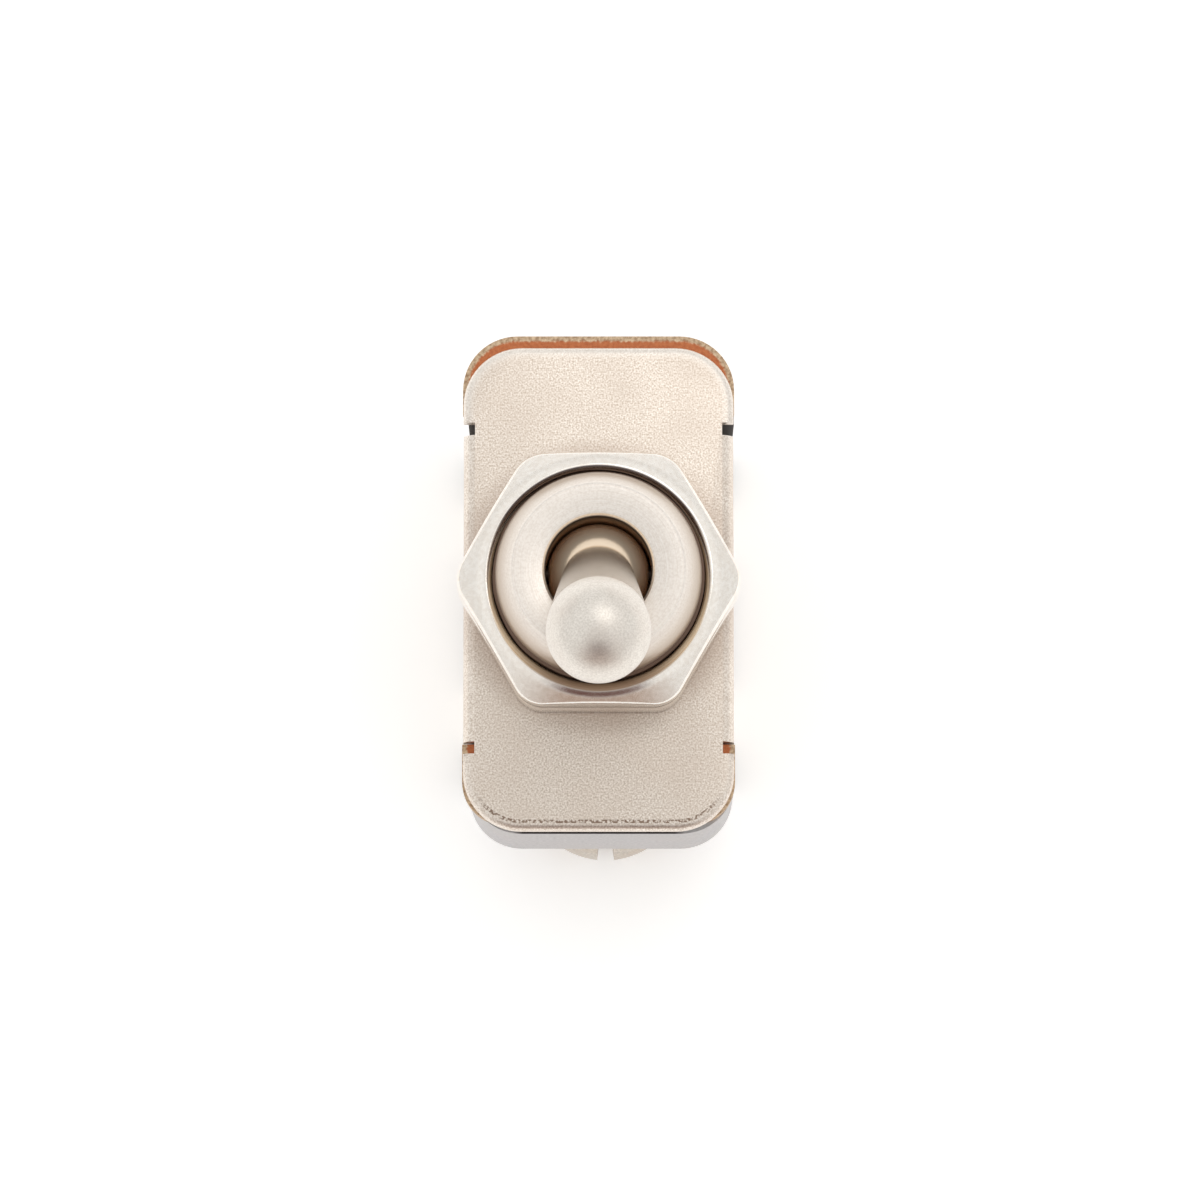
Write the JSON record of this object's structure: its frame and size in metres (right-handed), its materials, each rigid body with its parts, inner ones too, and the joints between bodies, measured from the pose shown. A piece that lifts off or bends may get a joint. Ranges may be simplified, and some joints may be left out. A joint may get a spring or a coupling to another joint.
{
  "type": "toggle switch",
  "caption": "Panel toggle switch with a bat lever in a threaded bushing, hex nuts, a folded steel frame and a moulded base with a screw terminal at each end.",
  "frame": {"origin": "on the bushing's axis, in the plane of the frame's front face, which the panel lies against", "axes": "+Z runs along the bushing out of the panel, towards the lever; Y runs along the case and the lever swings in the YZ plane, its stored lean being towards -Y; +X completes a right-handed frame"},
  "size_m": [0.0162, 0.0287, 0.0393],
  "materials": {
    "nickel_plated_steel": "nickel plated sheet steel, fine matt grain",
    "paper_phenolic": "brown paper-based phenolic laminate, punched, with fibrous lighter edges",
    "base_moulding": "light grey thermosetting moulding, matt",
    "nickel_plated_brass": "turned brass under bright nickel plating, fine turning rings",
    "satin_nickel_brass": "turned brass under satin nickel plating",
    "pin_steel": "bright drawn steel",
    "plunger_plastic": "natural acetal, turned",
    "spring_wire": "drawn spring steel wire",
    "contact_brass": "rolled brass strip, plain",
    "contact_silver": "fine silver, pressed",
    "screw_steel": "nickel plated steel screw"
  },
  "bodies": {
    "housing": {"frame": "nickel_plated_steel", "insulator_board": "paper_phenolic", "base": "base_moulding", "bushing": "nickel_plated_brass", "lower_nut": "nickel_plated_brass", "upper_nut": "nickel_plated_brass", "rocker_pin": "pin_steel", "fulcrum_bracket": "contact_brass", "common_terminal": "contact_brass", "load_terminal": "contact_brass", "load_contact": "contact_silver", "common_rivet": "contact_brass", "load_rivet": "contact_brass", "common_screw": "screw_steel", "load_screw": "screw_steel"},
    "lever": {"lever": "satin_nickel_brass", "pivot_pin": "pin_steel", "plunger_spring": "spring_wire"},
    "plunger": {"plunger": "plunger_plastic"},
    "rocker": {"rocker": "contact_brass", "rocker_contact": "contact_silver"}
  },
  "joints": [
    {"name": "lever_tilt", "type": "hinge", "parent": "housing", "child": "lever", "pos_m": [0, 0, 0.0046], "axis": [-1, 0, 0], "range_deg": [0, 36]},
    {"name": "plunger_slide", "type": "slide", "parent": "lever", "child": "plunger", "axis": [0, -0.309, 0.9511], "range_m": [0, 0.0006], "stiffness_N_per_m": 200, "springref_m": -0.002, "deforming": ["plunger_spring"]},
    {"name": "rocker_tilt", "type": "hinge", "parent": "housing", "child": "rocker", "pos_m": [0, 0, -0.0079], "axis": [1, 0, 0], "range_deg": [0, 16]}
  ],
  "couplings": [
    {"joint": "rocker_tilt", "follows": "lever_tilt", "ratio": 0.44444}
  ]
}
